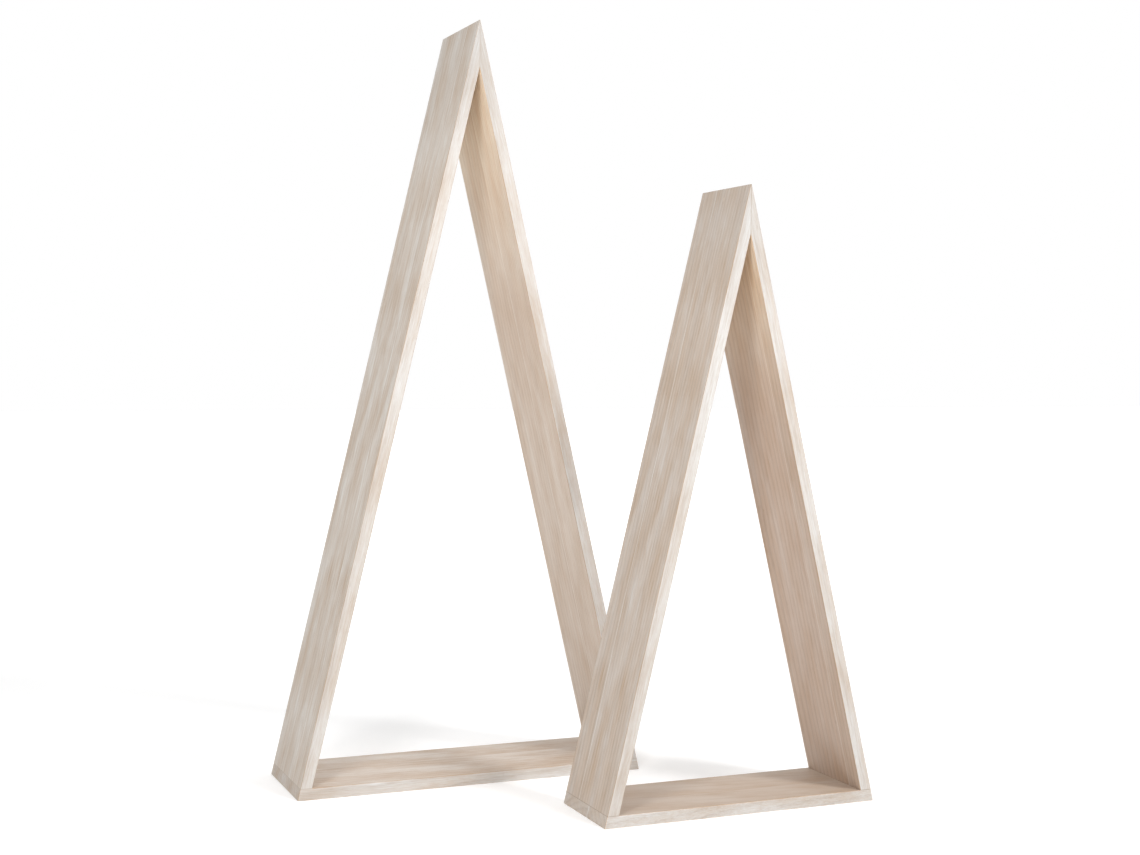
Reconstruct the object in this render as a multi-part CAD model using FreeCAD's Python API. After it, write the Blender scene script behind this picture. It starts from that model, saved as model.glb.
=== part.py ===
import FreeCAD, Part

import math
import os

from FreeCAD import Vector

# A set of two open racks. Each is a tall, narrow isosceles triangle of three glued boards: two side boards
# that lean together and meet in a mitre at the ridge, and stand on a base board whose ends are cut to the
# same slope. Every board is glued up from a front and a rear stave, edge to edge. Panel pins hold the joints
# while the glue sets: their heads are driven under the surface, and the holes are stopped with filler. The
# glued rack is then sanded, which rounds its outer edges and leaves its joints flush. The small rack stands
# loose in front of the large one, to its right.
#
# Frame: millimetres, +X to the right along the base boards, +Y to the rear, +Z up. The origin is the centre
# of the large rack's underside.

# Boards
BOARD = 12.0  # thickness of every board
ARRIS = 0.6  # radius that sanding gives the outer edges

# Panel pins
PIN_LENGTH = 30.0
SHANK_RADIUS = 0.6
HEAD_RADIUS = 1.0
HEAD_HEIGHT = 0.6
NECK_HEIGHT = 0.5  # the taper from head to shank
POINT_HEIGHT = 2.0
HEAD_SET = 3.0  # how far along its own axis a head is driven under the surface
PIN_SPREAD = 0.36  # from the middle pin of a joint to the outer ones, as a share of the rack's depth
PINS_PER_JOINT = 3

# The two racks. A seam is the glue line between a board's two staves, measured back from its front edge.
RACKS = {
    "large": {
        "width": 380.0,
        "height": 800.0,
        "depth": 120.0,
        "seams": {"left": 36.0, "right": 52.0, "base": 74.0},
    },
    "small": {
        "width": 300.0,
        "height": 622.0,
        "depth": 103.0,
        "seams": {"left": 70.0, "right": 20.0, "base": 44.0},
    },
}
GAP_BETWEEN_RACKS = 102.0  # from the small rack's rear to the large rack's front
SMALL_RACK_X = 208.0
SMALL_RACK_Y = -(RACKS["large"]["depth"] / 2 + GAP_BETWEEN_RACKS + RACKS["small"]["depth"] / 2)
PLACES = {"large": Vector(0, 0, 0), "small": Vector(SMALL_RACK_X, SMALL_RACK_Y, 0)}

LEFT = -1
RIGHT = 1
CLEAR = 50.0  # how far a cutting block reaches past the wood


def slope(rack):
    """The angle between a rack's side boards and its base, in radians."""
    return math.atan2(rack["height"], rack["width"] / 2)


def along_side(rack, side):
    """The direction up a side board towards the ridge. side is LEFT or RIGHT."""
    return Vector(-side * math.cos(slope(rack)), 0, math.sin(slope(rack)))


def triangular_prism(half_width, z_low, z_ridge, depth):
    """An isosceles prism that stands on its base and runs from front to rear."""
    corners = [
        Vector(-half_width, -depth / 2, z_low),
        Vector(half_width, -depth / 2, z_low),
        Vector(0, -depth / 2, z_ridge),
    ]
    face = Part.Face(Part.makePolygon(corners + corners[:1]))
    return face.extrude(Vector(0, depth, 0))


def rack_opening(rack):
    """The space inside the boards, run on past the front and the rear."""
    return triangular_prism(
        rack["width"] / 2 - BOARD / math.tan(slope(rack)) - BOARD / math.sin(slope(rack)),
        BOARD,
        rack["height"] - BOARD / math.cos(slope(rack)),
        rack["depth"] + 2 * CLEAR,
    )


def on_opening_rim(edge, opening, depth):
    """Whether an edge runs round the opening at the rack's front or rear face."""
    middle = edge.valueAt((edge.FirstParameter + edge.LastParameter) / 2)
    on_a_face = abs(abs(middle.y) - depth / 2) < 1e-6
    return on_a_face and opening.distToShape(Part.Vertex(middle))[0] < 1e-6


def sanded_frame(rack):
    """The whole rack as one body, with its outer edges and the rims of its opening rounded."""
    outside = triangular_prism(rack["width"] / 2, 0, rack["height"], rack["depth"])
    outside = outside.makeFillet(ARRIS, outside.Edges)
    opening = rack_opening(rack)
    frame = outside.cut(opening)
    rims = [edge for edge in frame.Edges if on_opening_rim(edge, opening, rack["depth"])]
    return frame.makeFillet(ARRIS, rims)


def panel_pin(entry, direction):
    """A pin driven in at a point of the surface, and a plug of filler over its head, not yet sanded flush."""
    head_top = entry + direction * HEAD_SET
    head = Part.makeCylinder(HEAD_RADIUS, HEAD_HEIGHT, head_top, direction)
    neck_top = head_top + direction * HEAD_HEIGHT
    neck = Part.makeCone(HEAD_RADIUS, SHANK_RADIUS, NECK_HEIGHT, neck_top, direction)
    shank_top = neck_top + direction * NECK_HEIGHT
    shank_length = PIN_LENGTH - HEAD_HEIGHT - NECK_HEIGHT - POINT_HEIGHT
    shank = Part.makeCylinder(SHANK_RADIUS, shank_length, shank_top, direction)
    point_top = shank_top + direction * shank_length
    point = Part.makeCone(SHANK_RADIUS, 0, POINT_HEIGHT, point_top, direction)
    pin = head.fuse([neck, shank, point]).removeSplitter()
    plug = Part.makeCylinder(HEAD_RADIUS, 2 * HEAD_SET, entry - direction * HEAD_SET, direction)
    return pin, plug


def pin_rows(rack):
    """How far each pin of a joint is from the middle of the rack's depth."""
    half = (PINS_PER_JOINT - 1) / 2
    return [(row - half) / half * PIN_SPREAD * rack["depth"] for row in range(PINS_PER_JOINT)]


def base_pins(rack, side):
    """Pins driven up through the base board, along the middle of a side board."""
    across_board = BOARD / math.sin(slope(rack))
    entry_x = side * (rack["width"] / 2 - across_board / 2)
    return [panel_pin(Vector(entry_x, y, 0), along_side(rack, side)) for y in pin_rows(rack)]


def ridge_pins(rack):
    """Pins driven through one side board near the ridge, down the middle of the other, by turns."""
    ridge_angle = math.pi - 2 * slope(rack)
    below_ridge = BOARD / 2 / math.sin(ridge_angle)
    pins = []
    for count, y in enumerate(pin_rows(rack)):
        face, other = (LEFT, RIGHT) if count % 2 else (RIGHT, LEFT)
        entry = Vector(0, y, rack["height"]) - along_side(rack, face) * below_ridge
        pins.append(panel_pin(entry, -along_side(rack, other)))
    return pins


def block(rack, x_range, y_range, z_range):
    """A cutting block between two limits each way, where None runs on past the wood."""
    reaches = (rack["width"], rack["depth"], rack["height"])
    limits = [
        (-reach - CLEAR if low is None else low, reach + CLEAR if high is None else high)
        for (low, high), reach in zip((x_range, y_range, z_range), reaches)
    ]
    corner = Vector(*[low for low, high in limits])
    return Part.makeBox(*[high - low for low, high in limits], corner)


def make_rack(rack):
    """Every piece of one rack by name, about the centre of its own underside."""
    frame = sanded_frame(rack)
    above_base = (BOARD, None)
    boards = {
        "left": frame.common(block(rack, (None, 0), (None, None), above_base)),
        "right": frame.common(block(rack, (0, None), (None, None), above_base)),
        "base": frame.common(block(rack, (None, None), (None, None), (None, BOARD))),
    }
    joints = {
        "ridge": ridge_pins(rack),
        "left_base": base_pins(rack, LEFT),
        "right_base": base_pins(rack, RIGHT),
    }
    pieces = {}
    holes = []
    for joint, driven in joints.items():
        pins = [pin for pin, plug in driven]
        plugs = [plug.common(frame).cut(pin) for pin, plug in driven]
        pieces[joint + "_pins"] = Part.makeCompound(pins)
        pieces[joint + "_filler"] = Part.makeCompound(plugs)
        holes += pins + plugs
    for side, board in boards.items():
        drilled = board.cut(holes)
        glue_line = rack["seams"][side] - rack["depth"] / 2
        before = block(rack, (None, None), (None, glue_line), (None, None))
        behind = block(rack, (None, None), (glue_line, None), (None, None))
        pieces[side + "_board_front_stave"] = drilled.common(before)
        pieces[side + "_board_rear_stave"] = drilled.common(behind)
    return pieces


os.makedirs("parts", exist_ok=True)
for rack_name, rack in RACKS.items():
    for piece_name, piece in make_rack(rack).items():
        piece.translate(PLACES[rack_name])
        state = "valid" if piece.isValid() else "NOT VALID"
        print(rack_name, piece_name, len(piece.Solids), "solids", state, round(piece.Volume, 2), "mm3")
        piece.exportStep("parts/" + rack_name + "_" + piece_name + ".step")
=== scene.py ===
import math

import bmesh
import bpy
from mathutils import Matrix, Vector


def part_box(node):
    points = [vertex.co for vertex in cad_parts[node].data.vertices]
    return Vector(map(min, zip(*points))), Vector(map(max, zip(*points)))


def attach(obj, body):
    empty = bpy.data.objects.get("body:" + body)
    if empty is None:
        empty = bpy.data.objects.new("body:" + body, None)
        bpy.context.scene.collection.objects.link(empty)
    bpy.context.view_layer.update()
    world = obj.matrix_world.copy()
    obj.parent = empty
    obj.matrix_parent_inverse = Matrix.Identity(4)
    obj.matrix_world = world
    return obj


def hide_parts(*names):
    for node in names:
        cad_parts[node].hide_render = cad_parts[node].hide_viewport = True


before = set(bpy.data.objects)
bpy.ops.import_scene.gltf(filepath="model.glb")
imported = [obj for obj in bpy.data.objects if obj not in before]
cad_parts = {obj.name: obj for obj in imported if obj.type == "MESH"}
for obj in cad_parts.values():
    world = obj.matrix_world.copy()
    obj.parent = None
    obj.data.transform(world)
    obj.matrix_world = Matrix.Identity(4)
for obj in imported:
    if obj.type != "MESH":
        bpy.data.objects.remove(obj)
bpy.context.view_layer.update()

# Studio: a pale floor that glows a little, two soft boxes in front of the racks (the stronger one to the
# right and farther off), a bright ceiling and backdrop, and dim walls. The camera stands to the left, a bit
# above half the large rack's height, and sees plain white past the floor. It is no part of the racks.

scene = bpy.context.scene
WHITE = (1.0, 1.0, 1.0, 1.0)
CAMERA_PLACE = Vector((-0.5922, -1.7223, 0.4485))
CAMERA_PAN = math.radians(-22.741)
CAMERA_TILT = math.radians(-2.327)
CAMERA_ROLL = math.radians(-0.480)
SENSOR_WIDTH = 36.0
FOCAL_LENGTH = 53.38
NEAREST_SEEN = 0.05
FARTHEST_SEEN = 60.0
CEILING = 0.86
WALLS = 0.1
BACKDROP = 1.0
CEILING_EDGE = (0.2, 0.8)  # how far up the walls turn into the ceiling, where 1 is straight up
BACKDROP_EDGE = (0.35, 0.75)  # how near the camera's aim they turn into the backdrop, where 1 is on it
SOFT_BOXES = {
    "left_soft_box": {"place": (-0.66, -0.95, 1.15), "side": 0.3, "power": 7.2},
    "right_soft_box": {"place": (0.95, -1.55, 1.90), "side": 0.4, "power": 25.0},
}
LIT_POINT = Vector((0.08, -0.12, 0.38))
FLOOR_HALF_WIDTH = 12.0
FLOOR_COLOUR = (0.90, 0.90, 0.90, 1.0)
FLOOR_GLOW = 0.19
FAR_GLOW = 0.28  # what is added to it far from the racks
FAR_GLOW_EDGE = (0.4, 2.6)
FLOOR_ROUGHNESS = 0.6
FLOOR_MOTTLE = 0.06
MOTTLE_SCALE = 3.0


def add_node(tree, kind, inputs=None, **settings):
    """A node with its settings made. An input given a socket is linked to it, and any other is set."""
    node = tree.nodes.new(kind)
    for setting, value in settings.items():
        setattr(node, setting, value)
    for name, value in (inputs or {}).items():
        join(tree, value, node.inputs[name])
    return node


def join(tree, value, entry):
    """Gives an input a socket, a Number or a plain value."""
    if isinstance(value, Number):
        value = value.socket
    if isinstance(value, bpy.types.NodeSocket):
        tree.links.new(value, entry)
    else:
        entry.default_value = value


class Number:
    """A number in a node tree. Arithmetic on it adds Math nodes, so a rule can be written as a formula."""

    def __init__(self, tree, socket):
        self.tree = tree
        self.socket = socket

    def worked(self, operation, *others):
        node = add_node(self.tree, "ShaderNodeMath", operation=operation)
        for value, entry in zip((self, *others), node.inputs):
            join(self.tree, value, entry)
        return Number(self.tree, node.outputs[0])

    def __add__(self, other):
        return self.worked("ADD", other)

    def __sub__(self, other):
        return self.worked("SUBTRACT", other)

    def __mul__(self, other):
        return self.worked("MULTIPLY", other)

    def __truediv__(self, other):
        return self.worked("DIVIDE", other)

    def __neg__(self):
        return self.worked("MULTIPLY", -1.0)

    def __abs__(self):
        return self.worked("ABSOLUTE")

    def rest(self):
        """What is left of 1."""
        return -self + 1.0

    def clipped(self):
        """The same number, held between 0 and 1."""
        return self.worked("MAXIMUM", 0.0).worked("MINIMUM", 1.0)

    def between(self, low, high):
        """0 at low and below it, 1 at high and above it, with a smooth step between."""
        node = add_node(self.tree, "ShaderNodeMapRange", interpolation_type="SMOOTHSTEP")
        for value, entry in zip((self, low, high), node.inputs):
            join(self.tree, value, entry)
        return Number(self.tree, node.outputs[0])


def vector_math(tree, operation, *values):
    """A Vector Math node on vectors, or on a vector and a number for SCALE."""
    node = add_node(tree, "ShaderNodeVectorMath", operation=operation)
    entries = (node.inputs[0], node.inputs["Scale"]) if operation == "SCALE" else node.inputs
    for value, entry in zip(values, entries):
        join(tree, value, entry)
    if operation in ("DOT_PRODUCT", "LENGTH"):
        return Number(tree, node.outputs["Value"])
    return node.outputs["Vector"]


def parts_of(tree, place):
    """The X, Y and Z of a vector, as numbers by name."""
    parts = add_node(tree, "ShaderNodeSeparateXYZ", {"Vector": place}).outputs
    return {axis: Number(tree, parts[axis]) for axis in "XYZ"}


def noise(tree, place, scale, detail=2.0, roughness=0.5):
    """Cloudy noise from 0 to 1. The scale is one number, since place may be stretched already."""
    inputs = {"Vector": place, "Scale": scale, "Detail": detail, "Roughness": roughness}
    return Number(tree, add_node(tree, "ShaderNodeTexNoise", inputs, normalize=True).outputs[0])


def new_material(name):
    """A material with a Principled shader, and its tree, shader and Object coordinates."""
    material = bpy.data.materials.new(name)
    material.use_nodes = True
    tree = material.node_tree
    shader = tree.nodes["Principled BSDF"]
    place = add_node(tree, "ShaderNodeTexCoord").outputs["Object"]
    return material, tree, shader, place


camera = bpy.data.objects.new("camera", bpy.data.cameras.new("camera"))
camera.data.sensor_width = SENSOR_WIDTH
camera.data.lens = FOCAL_LENGTH
camera.data.clip_start = NEAREST_SEEN
camera.data.clip_end = FARTHEST_SEEN
upright = Matrix.Rotation(math.radians(90), 4, "X")
aim = Matrix.Rotation(CAMERA_PAN, 4, "Z") @ Matrix.Rotation(CAMERA_TILT, 4, "X")
roll = Matrix.Rotation(CAMERA_ROLL, 4, "Y")
camera.matrix_world = Matrix.Translation(CAMERA_PLACE) @ aim @ roll @ upright
scene.collection.objects.link(camera)
scene.camera = camera
scene.view_settings.view_transform = "Standard"

room = bpy.data.worlds.new("room")
room.use_nodes = True
tree = room.node_tree
direction = add_node(tree, "ShaderNodeTexCoord").outputs["Generated"]
upward = parts_of(tree, direction)["Z"].between(*CEILING_EDGE)
view = aim @ Vector((0, 1, 0))
behind = vector_math(tree, "DOT_PRODUCT", direction, tuple(view)).between(*BACKDROP_EDGE)
around = upward * CEILING + upward.rest() * WALLS
lighting = behind * BACKDROP + behind.rest() * around
seen = Number(tree, add_node(tree, "ShaderNodeLightPath").outputs["Is Camera Ray"])
join(tree, seen + seen.rest() * lighting, tree.nodes["Background"].inputs["Strength"])
tree.nodes["Background"].inputs["Color"].default_value = WHITE
scene.world = room

for light_name, box in SOFT_BOXES.items():
    soft_box = bpy.data.lights.new(light_name, "AREA")
    soft_box.shape = "SQUARE"
    soft_box.size = box["side"]
    soft_box.energy = box["power"]
    stand = bpy.data.objects.new(light_name, soft_box)
    stand.location = box["place"]
    stand.rotation_mode = "QUATERNION"
    stand.rotation_quaternion = (LIT_POINT - stand.location).to_track_quat("-Z", "Y")
    scene.collection.objects.link(stand)

floor_mesh = bpy.data.meshes.new("floor")
reach = FLOOR_HALF_WIDTH
floor_corners = [(-reach, -reach, 0), (reach, -reach, 0), (reach, reach, 0), (-reach, reach, 0)]
floor_mesh.from_pydata(floor_corners, [], [(0, 1, 2, 3)])
floor = bpy.data.objects.new("floor", floor_mesh)
scene.collection.objects.link(floor)
floor_material, tree, shader, place = new_material("pale_floor")
shader.inputs["Base Color"].default_value = FLOOR_COLOUR
shader.inputs["Emission Color"].default_value = WHITE
away = vector_math(tree, "LENGTH", place).between(*FAR_GLOW_EDGE)
join(tree, away * FAR_GLOW + FLOOR_GLOW, shader.inputs["Emission Strength"])
mottle = noise(tree, place, MOTTLE_SCALE) * FLOOR_MOTTLE
join(tree, mottle + FLOOR_ROUGHNESS, shader.inputs["Roughness"])
floor_mesh.materials.append(floor_material)


# Side boards and base boards: flat boards of pale, soft, straight-grained wood, each glued edge to edge from
# a front and a rear stave. A rack is glued, pinned and sanded whole, and rubbed with thin whitewash. So it
# is drawn whole here, then sawn apart again at its joints, and each stave is drilled for its pins.

MM = 0.001
RACKS = ("large", "small")
ARRIS = 0.6 * MM  # radius that sanding leaves on an outward edge
ARRIS_STEPS = 8
FULL_BEVEL = 10 * MM  # what a bevel weight of 1 stands for
ROUND_REACH = 2 - math.sqrt(2)  # a round takes this much off a corner's tip for each unit along its faces
WELD_REACH = 1e-6


class Rack:
    """What the frame says of one rack. The sharp width and height are what it had before it was sanded."""

    def __init__(self, name):
        left_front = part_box(name + "_left_board_front_stave")
        base_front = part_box(name + "_base_board_front_stave")
        base_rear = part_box(name + "_base_board_rear_stave")
        self.name = name
        self.body = name + "_rack"
        self.middle = (base_front[0].x + base_front[1].x) / 2
        self.front = base_front[0].y
        self.rear = base_rear[1].y
        self.board = base_front[1].z
        sanded_half_width = (base_front[1].x - base_front[0].x) / 2
        sanded_height = left_front[1].z
        self.slope = math.atan2(sanded_height, sanded_half_width)
        for _ in range(4):  # each round gives a closer slope
            self.half_width = sanded_half_width + ARRIS * (1 / math.tan(self.slope / 2) - 1)
            self.height = sanded_height + ARRIS * (1 / math.cos(self.slope) - 1)
            self.slope = math.atan2(self.height, self.half_width)

    def glue_line(self, board):
        """How far back a board's two staves meet."""
        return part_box(f"{self.name}_{board}_board_front_stave")[1].y


def new_tree(name, sockets):
    """A geometry tree with named inputs, and the nodes at its two ends."""
    tree = bpy.data.node_groups.new(name, "GeometryNodeTree")
    for socket_name, kind in sockets.items():
        tree.interface.new_socket(socket_name, in_out="INPUT", socket_type="NodeSocket" + kind)
    tree.interface.new_socket("Geometry", in_out="OUTPUT", socket_type="NodeSocketGeometry")
    return tree, tree.nodes.new("NodeGroupInput"), tree.nodes.new("NodeGroupOutput")


def finish_tree(tree, start, end, geometry):
    """Ends a tree in Realize Instances and Set Material."""
    real = add_node(tree, "GeometryNodeRealizeInstances", {"Geometry": geometry})
    inputs = {"Geometry": real.outputs["Geometry"], "Material": start.outputs["Material"]}
    painted = add_node(tree, "GeometryNodeSetMaterial", inputs)
    tree.links.new(painted.outputs["Geometry"], end.inputs["Geometry"])


def vector(tree, x=0.0, y=0.0, z=0.0):
    """A vector from three numbers or sockets."""
    return add_node(tree, "ShaderNodeCombineXYZ", {"X": x, "Y": y, "Z": z}).outputs["Vector"]


def chosen(tree, values):
    """One of several vectors, chosen by the index of the point at hand."""
    choice = add_node(tree, "GeometryNodeIndexSwitch", data_type="VECTOR")
    for _ in values[2:]:
        choice.index_switch_items.new()
    join(tree, tree.nodes.new("GeometryNodeInputIndex").outputs[0], choice.inputs["Index"])
    for place, value in enumerate(values):
        join(tree, value, choice.inputs[str(place)])
    return choice.outputs[0]


def thickened(tree, outline, depth):
    """A flat outline that faces the rear, given its depth towards the rear and closed at the front."""
    push = {"Mesh": outline, "Offset": vector(tree, y=1.0), "Offset Scale": depth, "Individual": False}
    pushed = add_node(tree, "GeometryNodeExtrudeMesh", push, mode="FACES")
    front = add_node(tree, "GeometryNodeFlipFaces", {"Mesh": outline})
    both = tree.nodes.new("GeometryNodeJoinGeometry")
    tree.links.new(pushed.outputs["Mesh"], both.inputs["Geometry"])
    tree.links.new(front.outputs["Mesh"], both.inputs["Geometry"])
    inputs = {"Geometry": both.outputs["Geometry"], "Distance": WELD_REACH}
    return add_node(tree, "GeometryNodeMergeByDistance", inputs).outputs["Geometry"]


def glued_rack_tree():
    """The whole rack before it is sanded: a triangle, inset by the board's thickness and given its depth.

    Every outward edge gets a bevel weight for what sanding takes off it.
    """
    sizes = dict.fromkeys(("Half Width", "Height", "Board", "Middle", "Front", "Depth", "Arris"), "Float")
    tree, start, end = new_tree("glued_rack", {**sizes, "Material": "Material"})
    size = {name: Number(tree, start.outputs[name]) for name in sizes}

    corners = [
        vector(tree, x=-size["Half Width"]),
        vector(tree, x=size["Half Width"]),
        vector(tree, z=size["Height"]),
    ]
    triangle = add_node(tree, "GeometryNodeMeshCircle", {"Vertices": len(corners)})
    inputs = {"Geometry": triangle.outputs["Mesh"], "Position": chosen(tree, corners)}
    outside = add_node(tree, "GeometryNodeSetPosition", inputs)

    area = size["Half Width"] * size["Height"]
    slant = (size["Half Width"] * size["Half Width"] + size["Height"] * size["Height"]).worked("SQRT")
    inner_circle = area / (size["Half Width"] + slant)
    centre = vector(tree, z=inner_circle)
    shrink = (size["Board"] / inner_circle).rest()
    inputs = {"Mesh": outside.outputs["Geometry"], "Offset Scale": 0.0}
    ring = add_node(tree, "GeometryNodeExtrudeMesh", inputs, mode="EDGES")
    here = tree.nodes.new("GeometryNodeInputPosition").outputs[0]
    from_centre = vector_math(tree, "SCALE", vector_math(tree, "SUBTRACT", here, centre), shrink)
    inputs = {
        "Geometry": ring.outputs["Mesh"],
        "Selection": ring.outputs["Top"],
        "Position": vector_math(tree, "ADD", centre, from_centre),
    }
    outline = add_node(tree, "GeometryNodeSetPosition", inputs)
    rack = thickened(tree, outline.outputs["Geometry"], size["Depth"])

    angle = Number(tree, tree.nodes.new("GeometryNodeInputMeshEdgeAngle").outputs["Signed Angle"])
    half_turn = angle.worked("MAXIMUM", 0.0) * 0.5
    off_the_tip = size["Arris"] / half_turn.worked("COSINE") - size["Arris"]
    along_a_face = off_the_tip / (half_turn.worked("SINE") * ROUND_REACH)
    inputs = {"Geometry": rack, "Name": "bevel_weight_edge", "Value": along_a_face / FULL_BEVEL}
    marked = add_node(tree, "GeometryNodeStoreNamedAttribute", inputs, data_type="FLOAT", domain="EDGE")
    offset = vector(tree, x=size["Middle"], y=size["Front"])
    inputs = {"Geometry": marked.outputs["Geometry"], "Offset": offset}
    placed = add_node(tree, "GeometryNodeSetPosition", inputs)
    finish_tree(tree, start, end, placed.outputs["Geometry"])
    return tree


def shaped(name, tree, values):
    """An object with a geometry tree on it, and the tree's inputs set by name."""
    thing = bpy.data.objects.new(name, bpy.data.meshes.new(name))
    scene.collection.objects.link(thing)
    modifier = thing.modifiers.new(tree.name, "NODES")
    modifier.node_group = tree
    for socket in tree.interface.items_tree:
        if socket.in_out == "INPUT" and socket.name in values:
            modifier[socket.identifier] = values[socket.name]
    return thing


def baked(thing):
    """The plain mesh that an object's modifiers make. The object itself is then thrown away."""
    graph = bpy.context.evaluated_depsgraph_get()
    mesh = bpy.data.meshes.new_from_object(thing.evaluated_get(graph), depsgraph=graph)
    mesh.name = thing.name
    bpy.data.objects.remove(thing)
    return mesh


def sanded_rack(rack, tree):
    """The whole sanded rack as one closed mesh."""
    sizes = {
        "Half Width": rack.half_width,
        "Height": rack.height,
        "Board": rack.board,
        "Middle": rack.middle,
        "Front": rack.front,
        "Depth": rack.rear - rack.front,
        "Arris": ARRIS,
    }
    glued = shaped(rack.name + "_glued", tree, sizes)
    sanding = glued.modifiers.new("sanding", "BEVEL")
    sanding.limit_method = "WEIGHT"
    sanding.offset_type = "OFFSET"
    sanding.width = FULL_BEVEL
    sanding.segments = ARRIS_STEPS
    sanding.use_clamp_overlap = False
    return baked(glued)


# The pin holes, as rods to be taken out of the staves. Each is wide where the sunk head and the filler over
# it are, and narrow along the shank down to its point.

LEFT = -1
RIGHT = 1
PINS_PER_JOINT = 3
PIN_SPREAD = 0.36  # from a joint's middle pin to its outer ones, as a share of the rack's depth
HOLE_CLEARANCE = 0.02 * MM
HOLE_SIZES = {
    "Outside": 3.0 * MM,
    "Head Depth": 3.6 * MM,
    "Neck Depth": 4.1 * MM,
    "Shank Depth": 28.0 * MM,
    "Pin Length": 30.0 * MM,
    "Head Radius": 1.0 * MM + HOLE_CLEARANCE,
    "Shank Radius": 0.6 * MM + HOLE_CLEARANCE,
    "Point Radius": HOLE_CLEARANCE,
}
HOLE_SIDES = 24


def pin_holes_tree():
    """A row of pin holes, each drawn as a stepped rod from just outside the surface to the pin's point."""
    sizes = {"Pins": "Int", "First Pin": "Vector", "Row Step": "Vector", "Direction": "Vector"}
    sizes.update(dict.fromkeys(HOLE_SIZES, "Float"))
    tree, start, end = new_tree("pin_holes", {**sizes, "Material": "Material"})
    size = {name: Number(tree, start.outputs[name]) for name in sizes}
    steps = [
        vector(tree, x=size["Head Radius"], z=-size["Outside"]),
        vector(tree, x=size["Head Radius"], z=size["Head Depth"]),
        vector(tree, x=size["Shank Radius"], z=size["Neck Depth"]),
        vector(tree, x=size["Shank Radius"], z=size["Shank Depth"]),
        vector(tree, x=size["Point Radius"], z=size["Pin Length"]),
    ]
    step = parts_of(tree, chosen(tree, steps))
    line = add_node(tree, "GeometryNodeMeshLine", {"Count": len(steps)})
    inputs = {"Geometry": line.outputs["Mesh"], "Position": vector(tree, z=step["Z"])}
    axis = add_node(tree, "GeometryNodeSetPosition", inputs)
    curve = add_node(tree, "GeometryNodeMeshToCurve", {"Mesh": axis.outputs["Geometry"]})
    ring = add_node(tree, "GeometryNodeCurvePrimitiveCircle", {"Resolution": HOLE_SIDES, "Radius": 1.0})
    inputs = {
        "Curve": curve.outputs["Curve"],
        "Profile Curve": ring.outputs["Curve"],
        "Scale": step["X"],
        "Fill Caps": True,
    }
    hole = add_node(tree, "GeometryNodeCurveToMesh", inputs)
    inputs = {"Count": size["Pins"], "Start Location": size["First Pin"], "Offset": size["Row Step"]}
    row = add_node(tree, "GeometryNodeMeshLine", inputs)
    inputs = {"Vector": size["Direction"]}
    turned = add_node(tree, "FunctionNodeAlignRotationToVector", inputs, axis="Z")
    inputs = {
        "Points": row.outputs["Mesh"],
        "Instance": hole.outputs["Mesh"],
        "Rotation": turned.outputs["Rotation"],
    }
    holes = add_node(tree, "GeometryNodeInstanceOnPoints", inputs)
    finish_tree(tree, start, end, holes.outputs["Instances"])
    return tree


def drilled_rows(rack, tree):
    """The rows of pin holes of one rack, by joint. The ridge pins go in from its two faces by turns."""
    up = {side: Vector((-side * math.cos(rack.slope), 0, math.sin(rack.slope))) for side in (LEFT, RIGHT)}
    halfway = (rack.front + rack.rear) / 2
    spread = PIN_SPREAD * (rack.rear - rack.front)
    in_base = rack.half_width - rack.board / math.sin(rack.slope) / 2
    below_ridge = rack.board / 2 / math.sin(2 * rack.slope)
    ridge = Vector((rack.middle, halfway, rack.height))
    middle = Vector((rack.middle, halfway, 0))
    rows = {
        "left_base": (PINS_PER_JOINT, middle + Vector((-in_base, 0, 0)), up[LEFT]),
        "right_base": (PINS_PER_JOINT, middle + Vector((in_base, 0, 0)), up[RIGHT]),
        "ridge_outer": (PINS_PER_JOINT - 1, ridge - up[RIGHT] * below_ridge, -up[LEFT]),
        "ridge_middle": (1, ridge - up[LEFT] * below_ridge, -up[RIGHT]),
    }
    drills = {}
    for joint, (pins, entry, direction) in rows.items():
        step = Vector((0, spread if pins == PINS_PER_JOINT else 2 * spread, 0))
        values = {
            "Pins": pins,
            "First Pin": entry - step * ((pins - 1) / 2),
            "Row Step": step,
            "Direction": direction,
            **HOLE_SIZES,
        }
        drills[joint] = shaped(f"{rack.name}_{joint}_holes", tree, values)
    return drills


# The wood and its whitewash. The pattern is solid, so the grain runs through from a face to the board's end.
# Each stave is from another part of a log, with a heart and ring width of its own, and a tone that is partly
# its own and partly painted light and shade.

WOOD = (0.56, 0.40, 0.27, 1.0)
LATE_WOOD = (0.34, 0.22, 0.13, 1.0)
WHITEWASH = (0.84, 0.805, 0.765, 1.0)
GLUE_COLOUR = (0.30, 0.21, 0.14, 1.0)
# Partly the end grain's own tone, partly painted shade that dims the narrow front edges facing the lamps.
EDGE_TONE_AND_SHADE = (0.84, 0.86, 0.88, 1.0)  # of the boards' narrow edges and ends
# Painted light: the inside faces up at the ridge are brightened and warmed in place of light bounced into
# that narrow corner.
PAINTED_RIDGE_LIGHT_TONE = (1.20, 1.18, 1.09, 1.0)  # of the inside, up at the ridge
PAINTED_RIDGE_LIGHT_HEIGHTS = (0.60, 0.95)  # where that comes on, as shares of the rack's height
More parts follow.
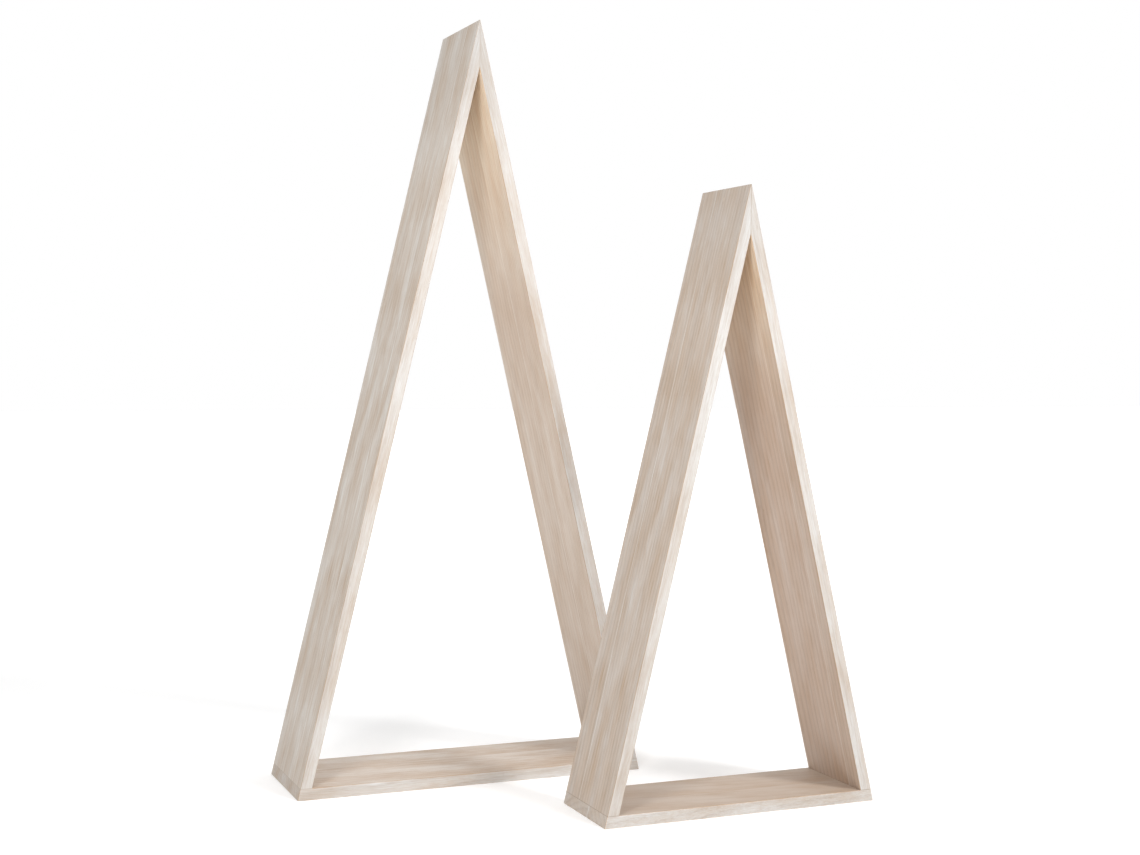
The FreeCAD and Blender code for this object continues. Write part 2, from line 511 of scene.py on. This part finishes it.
# Painted shade: the outer faces and edges are darkened towards the ridge, against the strong lamp light that
# falls up there.
TIP_SHADE_HEIGHTS = (0.75, 1.0)  # where the outside darkens towards the ridge, as shares of the rack's height
TIP_SHADE_FACE_SHARE = 0.88  # what is left of the tone at the ridge on the outer faces
TIP_SHADE_EDGE_SHARES = {"large": 0.76, "small": 0.84}  # and on the front and rear edges
END_COVERAGE = 0.46
EDGE_COVERAGE = {"left": 0.68, "right": 0.68, "base": 0.66}
FIGURE = {  # how strongly the whitewash lies in streaks and patches on the boards' faces
    "large": {"left": 1.3, "right": 0.9, "base": 1.6},
    "small": {"left": 1.0, "right": 0.8, "base": 1.6},
}
SIDE_SWAY = 3 * MM  # how far the grain wanders through the board
CROSS_SWAY = 8 * MM  # and across it
LATE_BEGINS = (0.35, 0.90)  # the dark part of a yearly ring, as shares of its width
LATE_ENDS = (0.92, 1.0)
PORE_CUT = (0.16, 0.28)
FLECK_CUT = (0.25, 0.31)
MARKS = {  # each mark's width across the grain and length along it
    "sway": {"across": 40 * MM, "along": 180 * MM, "detail": 1.0},
    "fibre": {"across": 0.9 * MM, "along": 24 * MM, "detail": 4.0, "roughness": 0.75},
    "brush": {"across": 2.0 * MM, "along": 45 * MM, "detail": 2.0},
    "band": {"across": 12 * MM, "along": 240 * MM, "detail": 1.0},
    "patch": {"across": 26 * MM, "along": 80 * MM, "detail": 3.0},
    "pore": {"across": 0.32 * MM, "along": 7 * MM, "detail": 1.0},
    "fleck": {"across": 1.6 * MM, "along": 12 * MM, "detail": 1.0},
}
GRAIN_SHARES = {"late": 0.35, "fibre": 1.0, "band": 0.8, "pore": 0.4, "fleck": 0.4}  # darken the wood
GRAIN_START = 0.1
FIGURE_SHARES = {"fibre": 1.3, "brush": 0.3, "band": 0.35, "patch": 0.9}  # vary the whitewash
# On the rounded arrises the thinning is partly sanding wear and partly painted shade.
WORN_AND_SHADED_SHARES = {"pore": 0.10, "fleck": 0.20, "late": 0.05, "sanded": 0.5}  # thin it
RELIEF_SHARES = {"fibre": 0.6, "pore": -0.8, "late": -0.2}
ROUGHNESS_SHARES = {"fibre": 0.3, "patch": 0.2}
WOOD_ROUGHNESS = 0.62
WOOD_SPECULAR = 0.35
RELIEF_STRENGTH = 0.4
RELIEF_DEPTH = 0.12 * MM
GLUE_LINE_REACH = 1.0 * MM
GLUE_LINE_WHITEWASH = 0.4
JOINT_REACH = 0.5 * MM
JOINT_TONES = {"large": 0.35, "small": 0.7}
BASE_GRAIN_TURNS = {"large": math.radians(-2), "small": math.radians(-9)}
END_FACING = (0.6, 0.9)  # how squarely end grain is cut across the grain
EDGE_FACING = (0.9, 0.99)  # how squarely the narrow edges face the front or the rear
ROUND_BEGINS = (0.03, 0.25)  # the same for where an arris leaves a board's face
ROUND_ENDS = (0.75, 0.97)  # and for where it meets a narrow edge
DOWN_FACING = (0.1, 0.2)
# Tones and coverages are set stave by stave, so besides each stave's own tone they carry painted light and
# shade: the small base staves' tones above 1 and their high coverage paint light onto the small base's top.
STAVES = {
    "large_left_front": {
        "heart": (0.05, -0.10), "ring": 6.0, "tone": (0.88, 0.885, 0.88), "coverage": 0.54,
    },
    "large_left_rear": {
        "heart": (-0.08, 0.12), "ring": 7.5, "tone": (0.88, 0.885, 0.88), "coverage": 0.54,
    },
    "large_right_front": {
        "heart": (0.03, -0.14), "ring": 4.5, "tone": (0.935, 0.895, 0.855), "coverage": 0.54,
    },
    "large_right_rear": {
        "heart": (0.07, 0.10), "ring": 6.5, "tone": (0.935, 0.895, 0.855), "coverage": 0.54,
    },
    "large_base_front": {
        "heart": (0.06, 0.09), "ring": 7.0, "tone": (1.00, 1.00, 1.00), "coverage": 0.62,
    },
    "large_base_rear": {
        "heart": (-0.05, 0.11), "ring": 6.0, "tone": (1.00, 1.00, 1.00), "coverage": 0.62,
    },
    "small_left_front": {
        "heart": (0.04, -0.12), "ring": 5.5, "tone": (0.88, 0.90, 0.925), "coverage": 0.38,
    },
    "small_left_rear": {
        "heart": (-0.07, 0.09), "ring": 6.0, "tone": (0.88, 0.90, 0.925), "coverage": 0.38,
    },
    "small_right_front": {
        "heart": (0.06, -0.09), "ring": 5.0, "tone": (0.86, 0.82, 0.80), "coverage": 0.38,
    },
    "small_right_rear": {
        "heart": (0.05, 0.11), "ring": 7.0, "tone": (0.90, 0.86, 0.85), "coverage": 0.38,
    },
    "small_base_front": {
        "heart": (0.09, 0.05), "ring": 6.5, "tone": (1.19, 1.17, 1.16), "coverage": 0.76,
    },
    "small_base_rear": {
        "heart": (0.08, -0.06), "ring": 7.0, "tone": (1.19, 1.17, 1.16), "coverage": 0.76,
    },
}


def colour_mix(tree, share, first, second, blend="MIX"):
    """One colour over another."""
    node = add_node(tree, "ShaderNodeMix", data_type="RGBA", blend_type=blend)
    join(tree, share, node.inputs[0])
    join(tree, first, node.inputs[6])
    join(tree, second, node.inputs[7])
    return node.outputs[2]


def grain_noise(tree, place, mark):
    """Noise about 0 whose marks are drawn out along the grain."""
    across, along = MARKS[mark]["across"], MARKS[mark]["along"]
    inputs = {"Vector": place, "Scale": (1 / across, 1 / across, 1 / along)}
    stretched = add_node(tree, "ShaderNodeMapping", inputs).outputs["Vector"]
    return noise(tree, stretched, 1.0, MARKS[mark]["detail"], MARKS[mark].get("roughness", 0.5)) - 0.5


def summed(marks, shares):
    """The sum of some marks, each taken by its share."""
    parts = [marks[name] * share for name, share in shares.items()]
    total = parts[0]
    for part in parts[1:]:
        total = total + part
    return total


def on_plane(coordinate, place, reach):
    """1 on a plane and 0 beyond a small reach to either side of it."""
    return abs(coordinate - place).between(0.0, reach).rest()


def grain_marks(tree, own, heart, ring):
    """The marks of the wood and of the whitewash's brush, by name."""
    sway = grain_noise(tree, own, "sway")
    swayed = vector_math(tree, "ADD", own, vector(tree, x=sway * SIDE_SWAY, y=sway * CROSS_SWAY))
    from_heart = vector_math(tree, "SUBTRACT", swayed, (*heart, 0.0))
    flat = vector_math(tree, "MULTIPLY", from_heart, (1.0, 1.0, 0.0))
    year = (vector_math(tree, "LENGTH", flat) / ring).worked("FRACT")
    marks = {"late": year.between(*LATE_BEGINS) * year.between(*LATE_ENDS).rest()}
    for mark in ("fibre", "brush", "band"):
        marks[mark] = grain_noise(tree, swayed, mark)
    marks["patch"] = grain_noise(tree, own, "patch")
    marks["pore"] = grain_noise(tree, own, "pore").between(*PORE_CUT)
    marks["fleck"] = grain_noise(tree, own, "fleck").between(*FLECK_CUT)
    return marks


def whitewashed_wood(rack, board, end, centre, turn, glue_line):
    """One stave's wood. In its own frame Z runs along the grain, X through the board and Y across it.

    A stave's heart is where the log's centre lies in that frame, its ring is the yearly growth, its tone
    multiplies the colour, and its coverage is how much of the wood the whitewash hides. Whitewash gathers
    along the glue line between two staves, and the joints at a board's ends show as thin dark lines.
    """
    name = f"{rack.name}_{board}_{end}"
    log = STAVES[name]
    coverage = log["coverage"]
    material, tree, shader, place = new_material(name + "_wood")
    inputs = {"Vector": place, "Location": centre, "Rotation": turn}
    own = add_node(tree, "ShaderNodeMapping", inputs, vector_type="TEXTURE").outputs["Vector"]
    axes = parts_of(tree, place)
    marks = grain_marks(tree, own, log["heart"], log["ring"] * MM)

    normal = add_node(tree, "ShaderNodeTexCoord").outputs["Normal"]
    facing = parts_of(tree, normal)
    straight = abs(facing["Y"])
    to_grain = Matrix.Rotation(turn[2], 3, "Z") @ Matrix.Rotation(turn[1], 3, "Y") @ Vector((0, 0, 1))
    end_grain = abs(vector_math(tree, "DOT_PRODUCT", normal, tuple(to_grain))).between(*END_FACING)
    # Painted shade and wear: the whitewash is thinned on the rounded arrises, so they show darker, partly as
    # sanding wear and partly as the shade such rounded edges take.
    marks["sanded"] = straight.between(*ROUND_BEGINS) * straight.between(*ROUND_ENDS).rest()
    board_edge = straight.between(*EDGE_FACING)
    narrow = board_edge.worked("MAXIMUM", end_grain)
    high_inside = axes["Z"].between(*(share * rack.height for share in PAINTED_RIDGE_LIGHT_HEIGHTS))
    painted_ridge_light = (-facing["Z"]).between(*DOWN_FACING) * high_inside
    painted_tip_shade = axes["Z"].between(*(share * rack.height for share in TIP_SHADE_HEIGHTS)) * painted_ridge_light.rest()

    wood = colour_mix(tree, (summed(marks, GRAIN_SHARES) + GRAIN_START).clipped(), WOOD, LATE_WOOD)
    figure = FIGURE[rack.name][board]
    strength = narrow * (1.0 - figure) + figure
    cover = summed(marks, FIGURE_SHARES) * strength + coverage
    cover = cover + board_edge * (EDGE_COVERAGE[board] - coverage) + end_grain * (END_COVERAGE - coverage)
    for mark, share in WORN_AND_SHADED_SHARES.items():
        cover = cover - marks[mark] * share
    cover = cover + on_plane(axes["Y"], glue_line, GLUE_LINE_REACH) * GLUE_LINE_WHITEWASH
    washed = colour_mix(tree, cover.clipped(), wood, WHITEWASH)

    # The narrow edges and ends take their own darker tone together with painted shade.
    tone = colour_mix(tree, narrow, (*log["tone"], 1.0), EDGE_TONE_AND_SHADE)
    # Painted shade: the outside darkens towards the ridge, more on the narrow edges than on the faces.
    tip_shade_share = narrow * (TIP_SHADE_EDGE_SHARES[rack.name] - TIP_SHADE_FACE_SHARE) + TIP_SHADE_FACE_SHARE
    tone = vector_math(tree, "SCALE", tone, painted_tip_shade * (tip_shade_share - 1.0) + 1.0)
    # Painted light: inside faces that look down, high under the ridge, are brightened and warmed in place of
    # light bounced into the corner.
    tone = colour_mix(tree, painted_ridge_light, tone, PAINTED_RIDGE_LIGHT_TONE)
    colour = colour_mix(tree, 1.0, washed, tone, blend="MULTIPLY")
    joints = [("Z", rack.board)] if board == "base" else [("Z", rack.board), ("X", rack.middle)]
    for axis, where in joints:
        line = on_plane(axes[axis], where, JOINT_REACH) * JOINT_TONES[rack.name]
        colour = colour_mix(tree, line, colour, GLUE_COLOUR)
    join(tree, colour, shader.inputs["Base Color"])

    join(tree, summed(marks, ROUGHNESS_SHARES) + WOOD_ROUGHNESS, shader.inputs["Roughness"])
    inputs = {"Height": summed(marks, RELIEF_SHARES), "Strength": RELIEF_STRENGTH, "Distance": RELIEF_DEPTH}
    join(tree, add_node(tree, "ShaderNodeBump", inputs).outputs["Normal"], shader.inputs["Normal"])
    shader.inputs["Specular IOR Level"].default_value = WOOD_SPECULAR
    return material


# The staves, sawn out of the sanded racks and drilled.

SAW_TOLERANCE = 1e-6
DRILLED_JOINTS = {
    "left": ("left_base", "ridge_outer", "ridge_middle"),
    "right": ("right_base", "ridge_outer", "ridge_middle"),
    "base": ("left_base", "right_base"),
}


def sawn(solid, name, cuts):
    """A copy of a closed mesh less all that lies beyond each cut, which is a point and the waste's side."""
    shape = bmesh.new()
    shape.from_mesh(solid)
    for point, waste in cuts:
        parts = shape.verts[:] + shape.edges[:] + shape.faces[:]
        bmesh.ops.bisect_plane(
            shape, geom=parts, dist=SAW_TOLERANCE, plane_co=point, plane_no=waste, clear_outer=True
        )
        skins = [
            face
            for face in shape.faces
            if face.normal.dot(waste) < 0
            and all(abs((corner.co - point).dot(waste)) < SAW_TOLERANCE for corner in face.verts)
        ]
        bmesh.ops.delete(shape, geom=skins, context="FACES")
        rims = [edge for edge in shape.edges if edge.is_boundary]
        bmesh.ops.holes_fill(shape, edges=rims, sides=0)
    bmesh.ops.recalc_face_normals(shape, faces=shape.faces[:])
    mesh = bpy.data.meshes.new(name)
    shape.to_mesh(mesh)
    shape.free()
    mesh.shade_flat()
    return mesh


def drilled(mesh, drills):
    """A stave with its pin holes taken out, as a plain mesh."""
    stave = bpy.data.objects.new(mesh.name, mesh)
    scene.collection.objects.link(stave)
    for drill in drills:
        taken = stave.modifiers.new(drill.name, "BOOLEAN")
        taken.operation = "DIFFERENCE"
        taken.solver = "EXACT"
        taken.object = drill
    result = baked(stave)
    bpy.data.meshes.remove(mesh)
    return result


def board_cuts(rack, board):
    """The cuts that leave one board of a rack."""
    ridge = Vector((rack.middle, 0, 0))
    base_top = Vector((0, 0, rack.board))
    return {
        "left": [(ridge, Vector((1, 0, 0))), (base_top, Vector((0, 0, -1)))],
        "right": [(ridge, Vector((-1, 0, 0))), (base_top, Vector((0, 0, -1)))],
        "base": [(base_top, Vector((0, 0, 1)))],
    }[board]


rack_tree = glued_rack_tree()
hole_tree = pin_holes_tree()
for rack in [Rack(name) for name in RACKS]:
    whole = sanded_rack(rack, rack_tree)
    drills = drilled_rows(rack, hole_tree)
    lean = math.pi / 2 - rack.slope
    grain_turns = {
        "left": (0.0, lean, 0.0),
        "right": (0.0, -lean, 0.0),
        "base": (0.0, math.pi / 2, BASE_GRAIN_TURNS[rack.name]),
    }
    for board, turn in grain_turns.items():
        glue_line = Vector((0, rack.glue_line(board), 0))
        stave_drills = [drills[joint] for joint in DRILLED_JOINTS[board]]
        for end, waste in {"front": Vector((0, 1, 0)), "rear": Vector((0, -1, 0))}.items():
            name = f"{rack.name}_{board}_{end}_stave"
            node = f"{rack.name}_{board}_board_{end}_stave"
            cuts = board_cuts(rack, board) + [(glue_line, waste)]
            mesh = drilled(sawn(whole, name, cuts), stave_drills)
            low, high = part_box(node)
            mesh.materials.clear()
            mesh.materials.append(whitewashed_wood(rack, board, end, (low + high) / 2, turn, glue_line.y))
            stave = bpy.data.objects.new(name, mesh)
            scene.collection.objects.link(stave)
            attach(stave, rack.body)
            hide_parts(node)
    for drill in drills.values():
        bpy.data.objects.remove(drill)


# Panel pins: bright drawn steel, three to a joint, driven below the surface to hold the joint while its glue
# sets. They stay as the frame has them.

DRAWN_STEEL = (0.50, 0.50, 0.51, 1.0)
RUBBED_STEEL = (0.64, 0.63, 0.62, 1.0)
STEEL_ROUGHNESS = 0.28
STEEL_ROUGHNESS_SPREAD = 0.2
DRAW_MARK_SCALE = 900.0
DRAW_MARK_DETAIL = 3.0

steel, tree, shader, place = new_material("bright_steel")
shader.inputs["Metallic"].default_value = 1.0
draw_marks = noise(tree, place, DRAW_MARK_SCALE, DRAW_MARK_DETAIL)
join(tree, colour_mix(tree, draw_marks, DRAWN_STEEL, RUBBED_STEEL), shader.inputs["Base Color"])
join(tree, draw_marks * STEEL_ROUGHNESS_SPREAD + STEEL_ROUGHNESS, shader.inputs["Roughness"])
for name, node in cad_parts.items():
    if name.endswith("_pins"):
        node.material_slots[0].material = steel


# Filler: a soft putty rubbed into the hole over each pin head, and sanded flush with the wood. It stays as
# the frame has it.

DARK_PUTTY = (0.50, 0.42, 0.33, 1.0)
PALE_PUTTY = (0.62, 0.54, 0.45, 1.0)
PUTTY_ROUGHNESS = 0.7
PUTTY_ROUGHNESS_SPREAD = 0.2
SPECKLE_SCALE = 1400.0
SPECKLE_DETAIL = 3.0

putty, tree, shader, place = new_material("sanded_putty")
speckle = noise(tree, place, SPECKLE_SCALE, SPECKLE_DETAIL)
join(tree, colour_mix(tree, speckle, DARK_PUTTY, PALE_PUTTY), shader.inputs["Base Color"])
join(tree, speckle * PUTTY_ROUGHNESS_SPREAD + PUTTY_ROUGHNESS, shader.inputs["Roughness"])
for name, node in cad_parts.items():
    if name.endswith("_filler"):
        node.material_slots[0].material = putty
